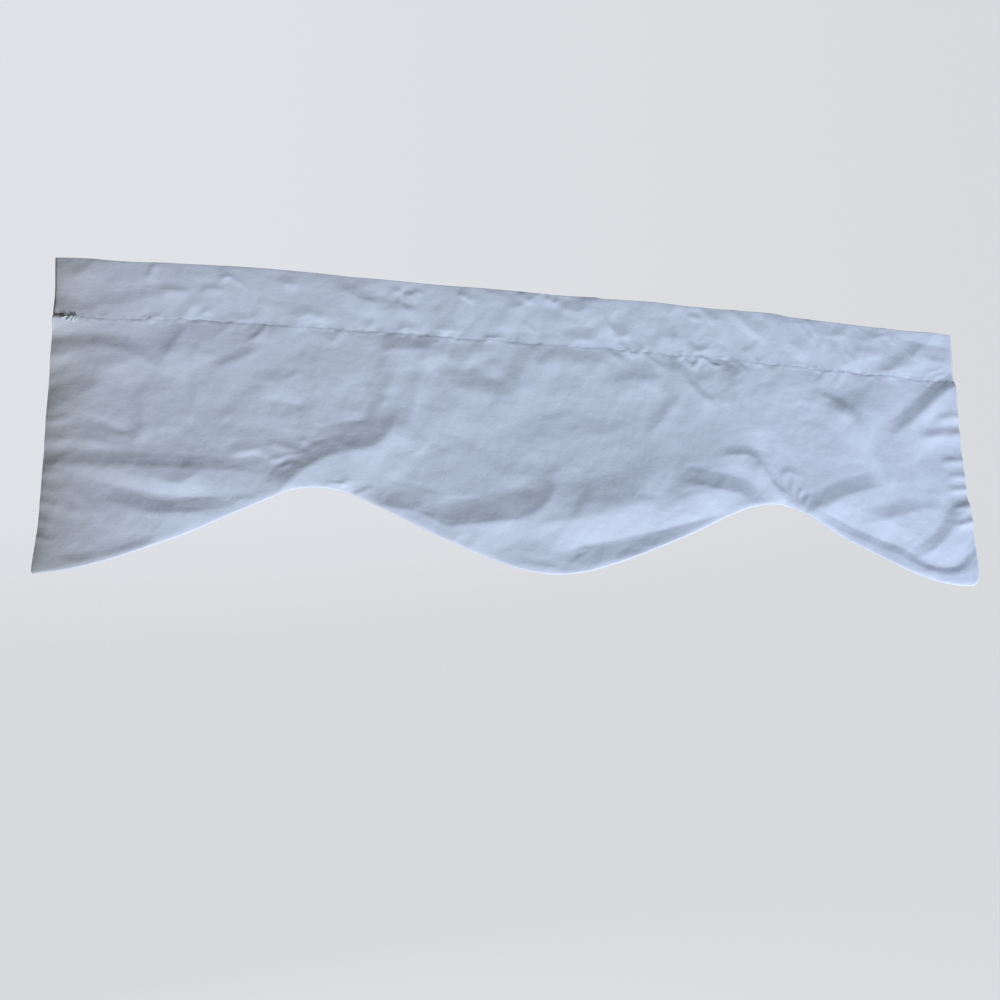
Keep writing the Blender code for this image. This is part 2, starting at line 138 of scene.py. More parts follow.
# Folds and creases of the panel in millimetres. Each is a ridge, or a trough where its height is negative,
# along a curve through its points (along, down). above and below say how far it reaches on each side, and
# the higher soft is, the sooner it falls away from its crest.
Crease = namedtuple("Crease", "height above below line soft", defaults=(1.5,))
PANEL_CREASES = (
    # left lobe, upper half
    Crease(3.8, 21, 52, ((-80, 132), (0, 131), (40, 130), (80, 131), (108, 138), (132, 147), (149, 153),
                         (160, 140), (172, 118)), 1.2),
    Crease(3.4, 44, 50, ((140, 158), (150, 150), (166, 132), (200, 128), (228, 148)), 1.2),
    Crease(1.8, 14, 40, ((150, 150), (166, 124), (178, 102), (192, 78))),
    Crease(2.0, 14, 50, ((218, 152), (250, 142), (275, 129), (304, 111))),
    Crease(0.9, 8, 22, ((264, 114), (286, 99), (302, 80)), 1.2),
    Crease(2.2, 20, 46, ((272, 166), (300, 169), (340, 161)), 1.2),
    Crease(1.0, 8, 16, ((326, 168), (340, 156), (356, 146))),
    Crease(-2.2, 34, 26, ((290, 198), (330, 197), (372, 207))),
    Crease(1.2, 10, 50, ((204, 216), (203, 188), (205, 158)), 1.2),
    Crease(1.7, 16, 55, ((132, 270), (130, 225), (131, 176)), 1.2),
    Crease(3.2, 30, 60, ((-60, 262), (-10, 236), (14, 222), (32, 213), (52, 199), (80, 182),
                         (100, 170)), 1.2),
    Crease(1.8, 18, 40, ((52, 174), (80, 162), (118, 146))),
    Crease(-1.6, 12, 18, ((36, 232), (80, 243), (122, 260))),
    Crease(1.2, 20, 16, ((112, 272), (128, 262), (133, 240))),
    Crease(1.8, 24, 20, ((-40, 266), (20, 268), (60, 270), (108, 278))),
    # left lobe, lower half
    Crease(3.6, 21, 60, ((-80, 306), (0, 306), (60, 306), (122, 306), (160, 307), (200, 307), (260, 308),
                         (300, 311), (352, 318)), 1.2),
    Crease(3.8, 24, 26, ((122, 302), (148, 318), (180, 329), (206, 316), (226, 300)), 1.2),
    Crease(-2.5, 17, 30, ((14, 312), (60, 324), (100, 334), (150, 344), (200, 347), (260, 347),
                          (306, 338)), 1.1),
    Crease(3.4, 20, 40, ((66, 350), (108, 361), (145, 372), (190, 370), (240, 364), (282, 352)), 1.1),
    Crease(1.2, 8, 10, ((258, 356), (274, 347), (294, 350))),
    Crease(2.4, 22, 30, ((-30, 332), (0, 338), (28, 356), (62, 388))),
    Crease(1.6, 16, 24, ((18, 326), (56, 352), (92, 388))),
    Crease(-2.0, 60, 24, ((10, 434), (60, 431), (110, 419), (184, 393)), 1.2),
    Crease(0.6, 16, 14, ((20, 444), (70, 440), (125, 424), (160, 408))),
    Crease(0.8, 8, 8, ((190, 375), (205, 370), (220, 374))),
    Crease(1.9, 16, 9, ((242, 286), (264, 279), (286, 274), (304, 278), (318, 290), (326, 304)), 1.2),
    Crease(1.6, 12, 16, ((300, 262), (335, 268), (372, 278))),
    Crease(1.4, 10, 20, ((345, 255), (366, 258), (386, 268))),
    Crease(1.1, 8, 8, ((304, 292), (330, 282), (362, 275))),
    Crease(1.0, 8, 8, ((312, 304), (328, 298), (346, 289))),
    # the deep fold over the left arch
    Crease(7.0, 27, 60, ((310, 350), (330, 328), (348, 311), (368, 295), (390, 281), (428, 268)), 1.1),
    Crease(9.6, 44, 60, ((388, 283), (414, 272), (440, 267), (466, 259), (483, 245), (495, 224),
                         (506, 192)), 1.1),
    Crease(1.2, 5, 8, ((392, 320), (412, 319), (432, 320))),
    Crease(1.2, 6, 6, ((412, 327), (420, 316), (434, 314))),
    Crease(1.6, 8, 8, ((432, 338), (450, 328), (468, 322))),
    # centre, under the seam
    Crease(5.2, 26, 34, ((462, 118), (478, 108), (500, 104), (530, 102), (556, 101), (580, 108)), 1.1),
    Crease(2.6, 15, 30, ((526, 120), (548, 115), (566, 110), (586, 94)), 1.2),
    Crease(3.4, 30, 62, ((466, 222), (480, 182), (494, 146), (508, 100)), 1.2),
    Crease(2.4, 34, 26, ((516, 236), (524, 196), (532, 160), (536, 126))),
    Crease(3.8, 27, 62, ((540, 132), (575, 148), (605, 158), (640, 167), (682, 168), (712, 160)), 1.1),
    Crease(2.8, 26, 50, ((676, 176), (690, 158), (702, 128), (726, 74)), 1.2),
    Crease(-1.8, 14, 20, ((598, 142), (616, 124), (628, 119), (644, 136), (672, 148))),
    Crease(1.6, 16, 26, ((722, 120), (744, 105), (770, 98)), 1.2),
    Crease(1.8, 32, 44, ((532, 204), (560, 210), (586, 204), (604, 176)), 1.1),
    Crease(1.0, 18, 28, ((722, 170), (745, 160), (775, 156))),
    Crease(1.0, 8, 32, ((730, 205), (752, 201), (780, 199))),
    Crease(1.8, 44, 60, ((680, 258), (720, 238), (766, 204))),
    Crease(0.6, 3, 3, ((512, 273), (532, 262), (554, 247))),
    Crease(0.8, 48, 60, ((536, 305), (565, 304), (600, 296))),
    Crease(1.4, 18, 22, ((730, 302), (760, 285), (796, 272))),
    # the middle lobe
    Crease(7.4, 40, 62, ((430, 316), (462, 340), (490, 353), (520, 357), (542, 363), (575, 380), (600, 377),
                         (650, 371), (694, 366)), 1.3),
    Crease(6.4, 46, 40, ((606, 380), (650, 372), (692, 365), (716, 355), (737, 336), (749, 306),
                         (752, 272)), 1.3),
    Crease(1.0, 14, 16, ((478, 344), (508, 352), (530, 350), (550, 340))),
    Crease(6.4, 56, 52, ((676, 382), (710, 376), (750, 368), (800, 358), (850, 345), (900, 333),
                         (935, 324)), 1.15),
    Crease(3.6, 120, 56, ((866, 346), (900, 335), (940, 325), (985, 318), (1030, 318), (1076, 326)), 1.1),
    Crease(2.6, 32, 60, ((764, 346), (806, 339), (860, 333), (930, 326)), 1.15),
    Crease(-5.4, 38, 30, ((710, 424), (770, 411), (800, 405), (850, 394), (905, 382), (960, 368),
                          (1000, 357),
                          (1040, 346), (1090, 328)), 1.2),
    Crease(0.7, 8, 10, ((766, 440), (786, 426), (808, 414))),
    Crease(0.8, 8, 8, ((784, 416), (798, 409), (810, 417))),
    Crease(0.9, 10, 12, ((684, 430), (720, 438), (760, 442))),
    # right of the centre
    Crease(2.2, 30, 44, ((776, 124), (788, 108), (812, 102), (858, 102)), 1.2),
    Crease(2.3, 22, 36, ((864, 121), (890, 129), (920, 127), (956, 118)), 1.1),
    Crease(4.6, 14, 34, ((960, 76), (972, 98), (986, 118), (1000, 134), (1020, 152), (1042, 174)), 1.1),
    Crease(0.9, 14, 22, ((1000, 125), (1025, 117), (1054, 102))),
    Crease(6.0, 50, 26, ((1060, 76), (1082, 126), (1098, 172), (1116, 206), (1136, 242)), 1.2),
    Crease(2.8, 19, 50, ((908, 226), (930, 206), (950, 182), (966, 162), (986, 145)), 1.1),
    Crease(3.4, 16, 30, ((1026, 256), (1060, 248), (1090, 245), (1108, 252), (1120, 270), (1140, 300),
                         (1158, 326)),
           1.2),
    Crease(2.8, 10, 30, ((1100, 242), (1121, 270), (1139, 299), (1160, 330)), 1.2),
    Crease(7.6, 30, 90, ((944, 297), (985, 302), (1018, 307), (1048, 311), (1074, 316), (1094, 331),
                         (1108, 354),
                         (1120, 380)), 1.15),
    # the gather over the right arch
    Crease(1.7, 12, 16, ((1152, 284), (1172, 270), (1196, 282))),
    Crease(2.4, 8, 10, ((1138, 284), (1150, 306), (1164, 330))),
    Crease(2.2, 7, 8, ((1152, 296), (1163, 312), (1174, 334))),
    Crease(1.9, 8, 9, ((1182, 336), (1174, 306), (1176, 276))),
    Crease(2.2, 7, 8, ((1184, 338), (1186, 314), (1196, 294))),
    Crease(1.6, 8, 9, ((1184, 342), (1196, 322), (1212, 306))),
    # right lobe
    Crease(2.6, 13, 42, ((1226, 122), (1240, 130), (1264, 140), (1286, 154), (1306, 172)), 1.2),
    Crease(2.4, 46, 60, ((1284, 180), (1300, 166), (1322, 146), (1346, 118), (1374, 80)), 1.1),
    Crease(6.6, 26, 34, ((1244, 140), (1285, 164), (1312, 192), (1330, 224), (1346, 256), (1358, 292)),
                         1.1),
    Crease(4.4, 60, 84, ((1236, 150), (1270, 160), (1300, 172), (1330, 190), (1356, 214)), 1.1),
    Crease(3.4, 50, 120, ((1336, 208), (1375, 196), (1412, 190), (1462, 184)), 1.1),
    Crease(2.4, 64, 22, ((1350, 186), (1362, 230), (1368, 270), (1376, 310))),
    Crease(7.2, 24, 60, ((1366, 208), (1388, 194), (1414, 178), (1447, 153), (1480, 125), (1515, 103),
                         (1566, 74)),
           1.1),
    Crease(2.2, 60, 28, ((1424, 340), (1419, 260), (1422, 184))),
    Crease(5.4, 27, 60, ((1168, 356), (1195, 341), (1225, 330), (1250, 320), (1275, 310), (1300, 302),
                         (1346, 291), (1380, 286)), 1.1),
    Crease(1.6, 22, 20, ((1176, 352), (1204, 340), (1236, 329), (1276, 312)), 1.2),
    Crease(3.8, 24, 44, ((1290, 358), (1350, 348), (1392, 337), (1432, 327), (1484, 316)), 1.1),
    Crease(4.2, 20, 40, ((1384, 428), (1414, 411), (1448, 392), (1474, 369), (1487, 352), (1500, 337),
                         (1522, 326),
                         (1560, 306)), 1.1),
    Crease(-3.4, 34, 15, ((1196, 324), (1270, 355), (1310, 371), (1345, 384), (1376, 394), (1402, 407),
                          (1440, 422), (1474, 428)), 1.1),
    Crease(-2.2, 26, 10, ((1370, 400), (1402, 414), (1440, 427), (1480, 427), (1506, 408),
                          (1545, 372)), 1.1),
    Crease(1.5, 14, 20, ((1380, 428), (1430, 440), (1480, 442), (1510, 431), (1536, 402)), 1.1),
    Crease(0.8, 6, 20, ((1416, 298), (1450, 297), (1484, 294))),
    # puckers along the pressed left side
    Crease(1.0, 9, 12, ((-20, 122), (12, 110), (40, 98))),
    Crease(1.8, 12, 16, ((-24, 150), (8, 145), (52, 134))),
    Crease(0.7, 8, 12, ((-20, 178), (8, 178), (34, 168))),
    Crease(1.3, 8, 12, ((-24, 242), (8, 241), (40, 235))),
    Crease(1.0, 10, 14, ((-24, 274), (8, 274), (40, 266))),
    Crease(1.0, 8, 10, ((-24, 316), (6, 317), (34, 321))),
    Crease(1.4, 12, 12, ((-24, 358), (6, 359), (34, 372))),
    Crease(0.7, 9, 10, ((-24, 384), (6, 386), (30, 398))),
    Crease(1.1, 9, 12, ((-24, 408), (6, 410), (32, 416))),
    # puckers along the pressed right side
    Crease(2.2, 10, 14, ((1472, 164), (1504, 158), (1545, 152))),
    Crease(4.6, 15, 32, ((1424, 204), (1470, 194), (1555, 186)), 1.2),
    Crease(2.6, 9, 12, ((1470, 242), (1504, 238), (1545, 234))),
    Crease(2.4, 8, 10, ((1484, 268), (1508, 266), (1545, 264))),
    Crease(2.4, 8, 10, ((1480, 292), (1506, 290), (1545, 286))),
    Crease(3.0, 14, 10, ((1484, 328), (1508, 322), (1550, 316))),
    Crease(3.6, 11, 14, ((1480, 358), (1508, 351), (1550, 342))),
)

# The same in the pocket's face. The stitches join the two faces, so folds of both run on across the seam.
POCKET_CREASES = (
    # left third
    Crease(1.8, 20, 30, ((18, 36), (46, 12), (62, -14))),
    Crease(1.4, 16, 60, ((30, 84), (56, 70), (100, 60), (134, 48), (160, 40), (196, 36)), 1.2),
    Crease(1.6, 8, 14, ((122, 26), (131, 14), (140, -8))),
    Crease(1.8, 12, 26, ((140, 38), (160, 37), (192, 40))),
    Crease(1.8, 14, 14, ((172, 90), (186, 66), (198, 44)), 1.2),
    Crease(1.2, 9, 12, ((196, 78), (210, 66), (222, 62))),
    Crease(1.6, 8, 7, ((226, 22), (234, 13), (243, 8), (252, 13), (266, 24))),
    Crease(1.2, 10, 14, ((198, 34), (215, 31), (244, 30))),
    Crease(0.9, 10, 13, ((278, 78), (288, 56), (298, 34)), 1.2),
    Crease(1.6, 14, 12, ((318, 16), (332, 11), (346, 18))),
    Crease(2.2, 16, 22, ((332, 74), (348, 64), (362, 58), (380, 62), (396, 72)), 1.2),
    Crease(0.8, 10, 9, ((248, 76), (264, 72), (276, 76))),
    Crease(1.4, 9, 8, ((126, 88), (138, 80), (150, 78))),
    # middle third
    Crease(3.2, 18, 26, ((396, 12), (420, 18), (440, 26), (458, 30), (478, 22)), 1.2),
    Crease(1.8, 11, 14, ((484, 8), (496, 10), (510, 4))),
    Crease(2.0, 12, 14, ((508, 10), (522, 12), (538, 0))),
    Crease(2.2, 10, 22, ((494, 18), (506, 34), (520, 38), (530, 28)), 1.2),
    Crease(1.4, 12, 10, ((452, 76), (458, 66), (466, 58))),
    Crease(2.0, 14, 12, ((498, 76), (514, 66), (530, 76))),
    Crease(1.6, 22, 18, ((556, 62), (580, 66), (604, 62))),
    Crease(2.2, 14, 7, ((594, 2), (608, 9), (624, 18))),
    Crease(1.2, 8, 12, ((634, 70), (652, 73), (674, 70))),
    Crease(2.2, 40, 40, ((640, -16), (646, 20), (660, 44), (690, 64)), 1.2),
    Crease(1.8, 10, 9, ((700, -14), (708, 2), (722, 10))),
    Crease(1.4, 16, 14, ((670, 20), (690, 18), (712, 14))),
    Crease(1.3, 7, 9, ((700, 38), (714, 50), (732, 62))),
    Crease(2.0, 10, 12, ((742, -8), (756, 4), (772, -2))),
    Crease(2.8, 18, 28, ((756, 12), (775, 15), (800, 16), (824, 2)), 1.2),
    Crease(2.2, 20, 18, ((776, 70), (800, 64), (836, 62)), 1.2),
    # right third: folds that run down from the top edge to the right
    Crease(5.0, 10, 40, ((820, -30), (832, -4), (842, 20), (856, 46), (866, 62)), 1.2),
    Crease(1.8, 16, 12, ((856, 52), (872, 54), (894, 44))),
    Crease(1.6, 8, 9, ((866, 60), (880, 72), (896, 92))),
    Crease(1.4, 16, 22, ((884, 8), (904, 20), (926, 22))),
    Crease(1.6, 18, 24, ((932, 48), (955, 48), (986, 42))),
    Crease(2.4, 10, 22, ((964, 40), (978, 58), (988, 84)), 1.2),
    Crease(2.0, 12, 12, ((900, 90), (908, 76), (920, 70))),
    Crease(1.8, 10, 9, ((994, 8), (1008, 9), (1026, 14))),
    Crease(1.8, 14, 9, ((1006, -22), (1024, -4), (1040, 12), (1052, 24)), 1.2),
    Crease(1.6, 20, 24, ((1050, -8), (1054, 30), (1060, 56))),
    Crease(1.6, 12, 14, ((1000, 66), (1018, 68), (1040, 58))),
    Crease(1.8, 9, 14, ((996, 50), (1008, 66), (1022, 86))),
    Crease(3.0, 26, 13, ((1062, -26), (1082, -4), (1102, 14), (1122, 28), (1150, 44)), 1.2),
    Crease(1.6, 18, 14, ((1046, 52), (1058, 62), (1072, 84))),
    Crease(1.4, 14, 14, ((1098, 52), (1116, 70), (1134, 90))),
    Crease(2.8, 20, 17, ((1152, -30), (1172, 6), (1184, 34), (1200, 50), (1228, 66)), 1.2),
    Crease(1.6, 8, 9, ((1196, -14), (1212, 6), (1226, 24), (1242, 46))),
    Crease(1.6, 10, 10, ((1214, -12), (1230, 6), (1246, 30))),
    Crease(2.0, 16, 14, ((1222, -14), (1242, 20), (1262, 52)), 1.2),
    Crease(2.0, 9, 18, ((1266, 26), (1284, 50), (1304, 92)), 1.2),
    Crease(1.6, 9, 12, ((1296, 40), (1312, 62), (1332, 90))),
    Crease(1.6, 18, 14, ((1246, 20), (1280, 20), (1314, 16)), 1.2),
    Crease(1.6, 18, 14, ((1312, 22), (1340, 24), (1380, 18)), 1.2),
    Crease(0.9, 8, 8, ((1358, 12), (1374, 15), (1388, 10))),
    Crease(1.8, 8, 10, ((1370, -16), (1384, 4), (1404, 34))),
    Crease(1.8, 26, 30, ((1308, 52), (1340, 48), (1378, 50))),
    Crease(5.6, 24, 110, ((1332, 96), (1362, 84), (1392, 77), (1418, 68), (1456, 58)), 1.1),
    Crease(2.2, 20, 26, ((1426, 56), (1444, 44), (1462, 20)), 1.2),
    Crease(-3.6, 28, 30, ((1400, 10), (1440, 18), (1480, 22), (1540, 26)), 1.2),
    Crease(1.0, 8, 16, ((1446, 42), (1474, 50), (1520, 54)), 1.2),
    Crease(0.8, 6, 9, ((1456, 82), (1478, 72), (1512, 62))),
    Crease(0.8, 6, 8, ((1470, 92), (1488, 80), (1516, 74))),
)

# Where the stitches draw the cloth in, in millimetres, deepest at the apex. The cloth swells out again over
# this drop under the seam.
Tuck = namedtuple("Tuck", "start apex end drop depth")
TUCKS = (
    Tuck(56, 64, 74, 9, 0.6), Tuck(94, 130, 148, 7, 0.5), Tuck(178, 190, 206, 9, 0.8),
    Tuck(200, 234, 250, 10, 1.0), Tuck(180, 206, 232, 28, 0.8), Tuck(252, 276, 296, 14, 0.6),
    Tuck(294, 304, 334, 10, 1.0), Tuck(362, 386, 398, 19, 1.0), Tuck(398, 404, 412, 9, 0.6),
    Tuck(416, 440, 470, 13, 1.0), Tuck(466, 480, 498, 9, 0.6), Tuck(538, 546, 554, 7, 0.8),
    Tuck(563, 580, 593, 10, 1.0), Tuck(592, 622, 644, 9, 0.8), Tuck(674, 687, 694, 7, 0.6),
    Tuck(699, 722, 736, 13, 1.0), Tuck(756, 768, 780, 9, 0.6), Tuck(780, 806, 854, 30, 0.8),
    Tuck(797, 808, 824, 9, 0.6), Tuck(851, 864, 878, 10, 0.9), Tuck(914, 921, 929, 9, 0.8),
    Tuck(942, 962, 981, 14, 1.0), Tuck(1035, 1056, 1078, 13, 1.0), Tuck(1116, 1123, 1130, 9, 0.8),
    Tuck(1132, 1150, 1169, 12, 1.0), Tuck(1201, 1222, 1246, 20, 1.1), Tuck(1243, 1256, 1271, 9, 0.8),
    Tuck(1277, 1292, 1303, 9, 0.6), Tuck(1304, 1330, 1352, 10, 1.3), Tuck(1346, 1364, 1382, 14, 1.4),
    Tuck(1384, 1410, 1458, 9, 0.8), Tuck(1454, 1498, 1530, 13, 0.9),
)
TUCK_ABOVE = 0.032  # how far the drawn-in cloth reaches above the seam
SEAM_CREASES = (
    Crease(1.0, 7, 14, ((216, 108), (236, 94), (256, 74))),
    Crease(1.2, 6, 10, ((270, 110), (288, 96), (302, 76))),
    Crease(1.4, 10, 10, ((392, 104), (404, 92), (416, 74))),
    Crease(1.6, 12, 10, ((846, 74), (864, 90), (890, 106))),
    Crease(1.4, 9, 10, ((912, 74), (928, 90), (958, 106))),
    Crease(1.8, 7, 8, ((976, 70), (990, 86), (1006, 100))),
    Crease(1.8, 6, 8, ((1000, 102), (1010, 90), (1020, 74))),
    Crease(1.6, 6, 7, ((1014, 72), (1022, 84), (1030, 104))),
    Crease(1.4, 8, 9, ((1076, 74), (1090, 88), (1108, 106))),
    Crease(0.9, 8, 14, ((1232, 116), (1248, 100), (1268, 78))),
    Crease(0.8, 8, 12, ((1268, 116), (1284, 98), (1302, 78))),
    Crease(1.6, 6, 10, ((1020, 74), (1040, 90), (1060, 92))),
)

CRUMPLE_SEED = 11
PINCH_PITCH = 12.5  # millimetres between the pinched places of the seam
CRUMPLES = 240
Facets = namedtuple("Facets", "across depth tilt")
FACETS = (Facets(0.046, 0.0012, 0.45), Facets(0.021, 0.0005, -0.35), Facets(0.0095, 0.00017, 0.8))
FACET_STRETCH = 1.7
LATTICE = 320  # more facets each way than the cloth has of the smallest
DEPTH = 0.86  # how deep the folds hang, as a share of the heights in the tables
CREST_SHARE = 0.05  # a crest is rounded over this share of the shorter reach
BLUR = 0.0005
CURVE_STEPS = 4


def smooth(rows, key, column, place):
    """The column's value at each place: a smooth line through the rows of a table."""
    knots = np.array([getattr(row, key) for row in rows])
    values = np.array([getattr(row, column) for row in rows])
    slopes = np.gradient(values, knots)
    place = np.clip(place, knots[0], knots[-1])
    before = np.clip(np.searchsorted(knots, place, side="right") - 1, 0, len(knots) - 2)
    span = knots[before + 1] - knots[before]
    t = (place - knots[before]) / span
    start = values[before] * (1 + 2 * t) * (1 - t) ** 2 + slopes[before] * span * t * (1 - t) ** 2
    end = values[before + 1] * t**2 * (3 - 2 * t) + slopes[before + 1] * span * t**2 * (t - 1)
    return start + end


def ease(value):
    """From 0 to 1 with a soft start and a soft end."""
    value = np.clip(value, 0, 1)
    return value * value * (3 - 2 * value)


def curve_through(points):
    """A smooth open line through the points, as short straight steps."""
    p = np.vstack([2 * points[0] - points[1], points, 2 * points[-1] - points[-2]])
    line = [points[0]]
    for a, b, c, d in zip(p, p[1:], p[2:], p[3:]):
        for t in np.arange(1, CURVE_STEPS + 1) / CURVE_STEPS:
            line.append((2 * b + (c - a) * t + (2 * a - 5 * b + 4 * c - d) * t**2
                         + (3 * b - a - 3 * c + d) * t**3) / 2)
    return np.array(line)


def add_crease(height, along, down, crease):
    """Adds one ridge or trough to the heights of places on the cloth."""
    line = curve_through(np.array(crease.line) * MM)
    above, below = crease.above * MM, crease.below * MM
    far = max(above, below)
    near = ((along > line[:, 0].min() - far) & (along < line[:, 0].max() + far)
            & (down > line[:, 1].min() - far) & (down < line[:, 1].max() + far))
    if not near.any():
        return
    starts, steps = line[:-1], np.diff(line, axis=0)
    lengths = np.hypot(steps[:, 0], steps[:, 1])
    walked = np.cumsum(lengths) - lengths
    off_a = along[near][:, None] - starts[:, 0]
    off_d = down[near][:, None] - starts[:, 1]
    t = np.clip((off_a * steps[:, 0] + off_d * steps[:, 1]) / lengths**2, 0, 1)
    off_a -= t * steps[:, 0]
    off_d -= t * steps[:, 1]
    distance = np.hypot(off_a, off_d)
    # Near steps share a place between them, so the fold turns a corner without a tear
    share = 1 / (distance + BLUR) ** 6
    share /= share.sum(axis=1, keepdims=True)
    place = (share * (walked + t * lengths)).sum(axis=1)
    on_below = (share * (steps[:, 0] * off_d > steps[:, 1] * off_a)).sum(axis=1)
    reach = above + (below - above) * on_below
    crest = CREST_SHARE * min(above, below)
    distance = np.hypot(distance.min(axis=1), crest) - crest
    fall = np.clip(1 - distance / reach, 0, 1) ** crease.soft
    length = lengths.sum()
    fade = min(max(0.4 * (above + below), 0.3 * length), 0.5 * length)
    height[near] += DEPTH * crease.height * MM * fall * ease(place / fade) * ease((length - place) / fade)


def crumples(count, seed, least_down, most_down):
    """Short shallow creases strewn over the cloth, most of them rising to the right."""
    strewn = np.random.default_rng(seed)
    for _ in range(count):
        along, down = strewn.uniform(0, WIDTH / MM), strewn.uniform(least_down, most_down)
        tilt = strewn.normal(-0.45, 0.55) if strewn.random() < 0.75 else strewn.uniform(-1.5, 1.5)
        half = strewn.uniform(5, 26)
        run, drop = half * math.cos(tilt), half * math.sin(tilt)
        bow = strewn.normal(0, 0.18)
        reach = strewn.uniform(6.0, 22.0)
        uneven = strewn.uniform(0.6, 1.7)
        height = strewn.choice([-1, 1]) * strewn.uniform(0.03, 0.10) * reach ** 0.7
        middle = (along - drop * bow, down + run * bow)
        yield Crease(height, reach * uneven, reach / uneven,
                     ((along - run, down - drop), middle, (along + run, down + drop)))


def pinches():
    """Small ridges across the seam, one at every few stitches, where the thread pinches the cloth."""
    strewn = np.random.default_rng(CRUMPLE_SEED + 1)
    for place in np.arange(34, WIDTH / MM - 8, PINCH_PITCH) + strewn.uniform(-4, 4):
        place += strewn.uniform(-4.5, 4.5)
        level = seam_line(np.array([place * MM]))[0] / MM
        lean, half, reach = strewn.uniform(-6, 4), strewn.uniform(5, 9), strewn.uniform(3.5, 6.5)
        yield Crease(strewn.uniform(0.25, 0.85), reach, reach * strewn.uniform(0.8, 1.5),
                     ((place - lean, level + half), (place, level + 1), (place + lean, level + 2 - half)),
                     1.3)


def add_facets(height, along, down, seed):
    """Adds the flat facets, with sharp creases between them, of cloth that was stored folded."""
    strewn = np.random.default_rng(seed)
    for facets in FACETS:
        right, up = math.cos(facets.tilt), math.sin(facets.tilt)
        u = (along * right - down * up) / (facets.across * FACET_STRETCH)
        v = (along * up + down * right) / facets.across
        u, v = u + 0.30 * np.sin(1.9 * v) + 0.12 * np.sin(4.3 * v + 1), v + 0.35 * np.sin(1.7 * u + 2)
        u, v = u + LATTICE / 2, v + LATTICE / 2
        i, j = u.astype(int), v.astype(int)
        corner = strewn.uniform(-1, 1, (LATTICE, LATTICE))
        rising = strewn.random(corner.shape) < 0.5
        f, g = u - i, v - j
        near, right_of, over, far = corner[i, j], corner[i + 1, j], corner[i, j + 1], corner[i + 1, j + 1]
        # Each cell is cut into two flat triangles along one of its diagonals
        one_way = np.where(f + g < 1, near + f * (right_of - near) + g * (over - near),
                           far + (1 - f) * (over - far) + (1 - g) * (right_of - far))
        other_way = np.where(f > g, near + f * (right_of - near) + g * (far - right_of),
                             near + g * (over - near) + f * (far - over))
        height += facets.depth * np.where(rising[i, j], one_way, other_way)


def seam_line(along):
    """How far down the seam lies. The stitches draw the cloth in unevenly, so the line wavers a little."""
    waver = sum(wave.size * np.sin(2 * math.pi * along / wave.length + wave.start) for wave in SEAM_WAVERS)
    return smooth(SECTIONS, "along", "seam", along) + waver


def seam_relief(along, down):
    """The heights near the seam: the stitches hold the cloth back in tucks, and small folds cross them."""
    off = down - seam_line(along)
    height = -SEAM_DIP * np.clip(1 - np.abs(off) / SEAM_DIP_REACH, 0, 1) ** 1.5
    for tuck in TUCKS:
        start, apex, end, drop, depth = (value * MM for value in tuck)
        side = np.clip(np.minimum((along - start) / (apex - start), (end - along) / (end - apex)), 0, 1)
        under = np.clip(1 - off / (drop * (0.35 + 0.65 * side)), 0, 1) ** 1.5
        over = np.clip(1 + off / TUCK_ABOVE, 0, 1) ** 1.2
        height -= depth * side ** 0.5 * np.where(off > 0, under, over)
    for crease in (*SEAM_CREASES, *pinches()):
        add_crease(height, along, down, crease)
    return height


def place_on_cloth(along, down):
    """X and Z of places on the cloth, whose sides aren't quite upright."""
    left = smooth(SIDES, "down", "left", down)
    right = smooth(SIDES, "down", "right", down)
    return left + (right - left) * along / WIDTH - WIDTH / 2, -down - TOP_RISE


def face_relief(along, down):
    """How far the face of the cloth stands out from its smooth shape, on the pocket and on the panel."""
    height = seam_relief(along, down)
    for crease in (*PANEL_CREASES, *POCKET_CREASES, *crumples(CRUMPLES, CRUMPLE_SEED, -15, 470)):
        add_crease(height, along, down, crease)
    add_facets(height, along, down, CRUMPLE_SEED)
    return height


def panel_face(along, down, seam, hem):
    """How far the panel's face stands out towards the room."""
    height = face_relief(along, down) - TUCK_BEHIND * ease((seam - down) / TUCK_STEP)
    height -= HEM_ROLL * np.exp(-(hem - down) / HEM_ROLL_REACH)
    undone = ease((UNSTITCHED - along) / PANEL_CURL_FADE) * np.exp(-(down - seam) / PANEL_CURL_REACH)
    drop = (down - seam) / (hem - seam)
    turned_away = SIDE_CURL * np.exp(-along / SIDE_CURL_REACH)
    turned_away += EDGE_CURL * np.exp(-along / EDGE_CURL_REACH)
    turned_away *= ease((down - seam) / CURL_START) * (1 + CORNER_CURL * drop)
    swing = SWAY * np.sin(2 * math.pi * along / SWAY_LENGTH + SWAY_START)
    return height + PANEL_CURL * undone - turned_away + ease(drop) * swing


def corner_columns():
    """Places along of the panel's columns: even, and closer round the two lower corners."""
    turn = np.linspace(0, math.pi / 2, CORNER_STEPS + 1)[:-1]
    left = LEFT_CORNER * (1 - np.cos(turn))
    right = WIDTH - RIGHT_CORNER * (1 - np.cos(turn))
    middle = np.linspace(LEFT_CORNER, WIDTH - RIGHT_CORNER, PANEL_COLUMNS - 2 * CORNER_STEPS + 1)
    return np.concatenate([left, middle, right[::-1]])


def corner_rise(along):
    """How far the rounded lower corners lift the hem at each place along."""
    rise = np.zeros(along.shape)
    for radius, from_side in ((LEFT_CORNER, along), (RIGHT_CORNER, WIDTH - along)):
        inside = np.clip(radius - from_side, 0, radius)
        rise += radius - np.sqrt(radius**2 - inside**2)
    return rise


def unit_grid(columns, rows):
    """A flat grid with each point's column and row."""
    grid = bmesh.new()
    bmesh.ops.create_grid(grid, x_segments=columns, y_segments=rows, size=0.5)
    points = np.array([point.co for point in grid.verts])
    column = np.rint((points[:, 0] + 0.5) * columns).astype(int)
    row = np.rint((points[:, 1] + 0.5) * rows).astype(int)
    return grid, column, row


